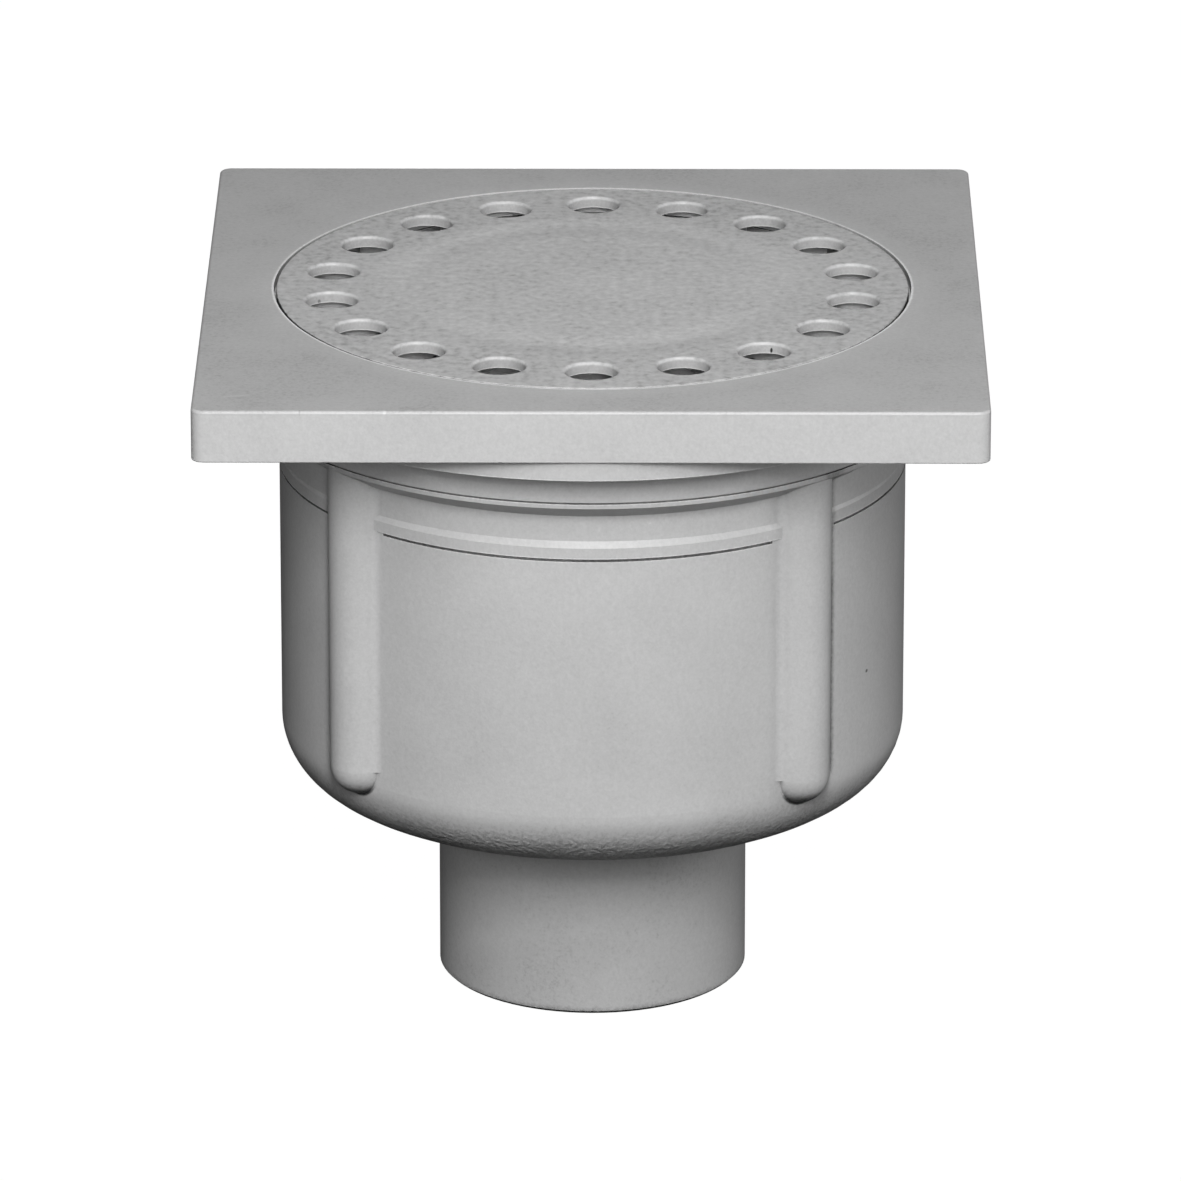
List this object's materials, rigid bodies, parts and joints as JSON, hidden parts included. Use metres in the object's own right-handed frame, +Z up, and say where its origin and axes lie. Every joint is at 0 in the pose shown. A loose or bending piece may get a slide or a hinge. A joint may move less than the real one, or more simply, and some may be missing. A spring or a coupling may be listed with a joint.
{
  "type": "gully trap",
  "caption": "Grey plastic gully trap: square frame with a round perforated grate over a ribbed bowl body, a lift-out bell seal inside and a vertical outlet spigot.",
  "frame": {"origin": "centre of the open end of the outlet spigot, which the part stands on", "axes": "+Z up along the trap's axis, X and Y along the sides of the square frame"},
  "size_m": [0.2, 0.2, 0.1868],
  "materials": {
    "body_plastic": "moulded, satin",
    "frame_plastic": "moulded, satin",
    "grate_plastic": "moulded, finely mottled",
    "bell_plastic": "moulded, satin"
  },
  "bodies": {
    "root": {"trap_body": "body_plastic", "frame": "frame_plastic", "grate": "grate_plastic", "bell": "bell_plastic"}
  },
  "joints": []
}
